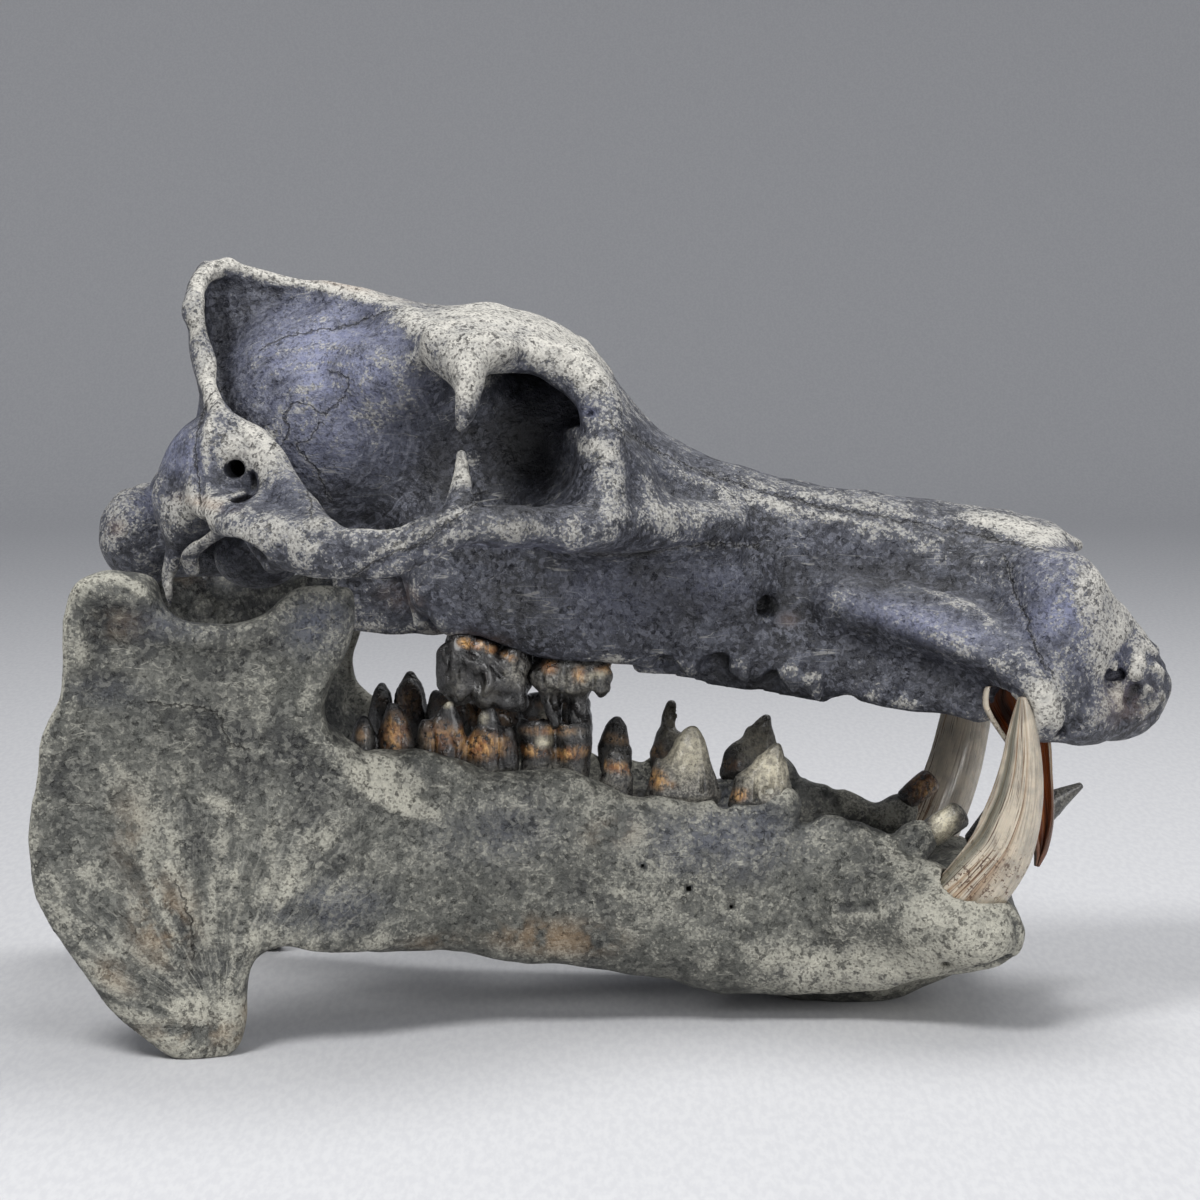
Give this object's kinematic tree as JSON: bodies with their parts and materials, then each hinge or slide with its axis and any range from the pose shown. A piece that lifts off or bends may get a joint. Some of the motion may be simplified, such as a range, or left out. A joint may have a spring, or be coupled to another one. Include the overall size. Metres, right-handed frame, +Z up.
{
  "type": "fossil dwarf hippopotamus skull",
  "caption": "Subfossil skull of a Malagasy dwarf hippopotamus, cranium resting forward on its lower jaw, with cheek teeth, curved lower tusks and a broken upper canine.",
  "frame": {"origin": "centre of the whole skull's box, on the surface it rests on", "axes": "+X towards the muzzle, +Y to the animal's left, +Z up; the right side of the skull faces -Y"},
  "size_m": [0.4955, 0.2889, 0.3408],
  "materials": {
    "bone_cranium": "matt weathered blue-grey subfossil bone, cream on the crests",
    "bone_mandible": "matt weathered olive-grey subfossil bone with pale speckle",
    "enamel": "dark brown stained enamel with orange patches, slightly glossy",
    "ivory": "cream ivory with brown lengthwise streaks, satin",
    "dentine": "brown broken tooth with a cream rim, satin"
  },
  "bodies": {
    "root": {"cranium": "bone_cranium", "mandible": "bone_mandible", "tusk_lower_right": "ivory", "tusk_lower_left": "ivory", "canine_upper_right": "dentine"}
  },
  "joints": []
}
